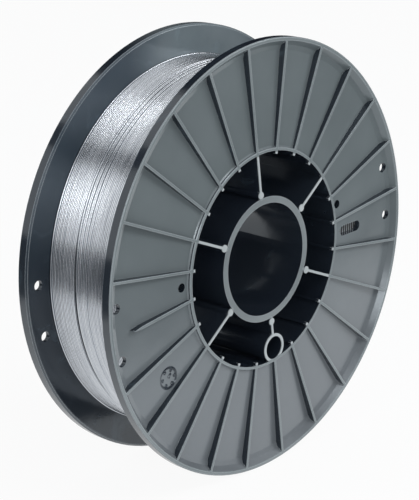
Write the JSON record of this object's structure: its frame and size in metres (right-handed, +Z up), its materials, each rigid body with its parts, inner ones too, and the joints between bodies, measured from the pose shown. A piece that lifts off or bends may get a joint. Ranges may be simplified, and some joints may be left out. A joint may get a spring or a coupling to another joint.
{
  "type": "mig welding wire spool",
  "caption": "Small flanged plastic spool with radial ribs, spindle bore and drive pin hole, wound full with steel welding wire.",
  "frame": {"origin": "centre of the spindle bore, midway between the two faces", "axes": "+Y along the bore towards the rear face, +Z up with the spool standing on its rims"},
  "size_m": [0.2, 0.055, 0.2],
  "materials": {
    "spool_plastic": "satin moulded polystyrene, charcoal",
    "steel_wire": "bright drawn wire, wound turn beside turn"
  },
  "bodies": {
    "root": {"spool": "spool_plastic", "wire_coil": "steel_wire"}
  },
  "joints": []
}
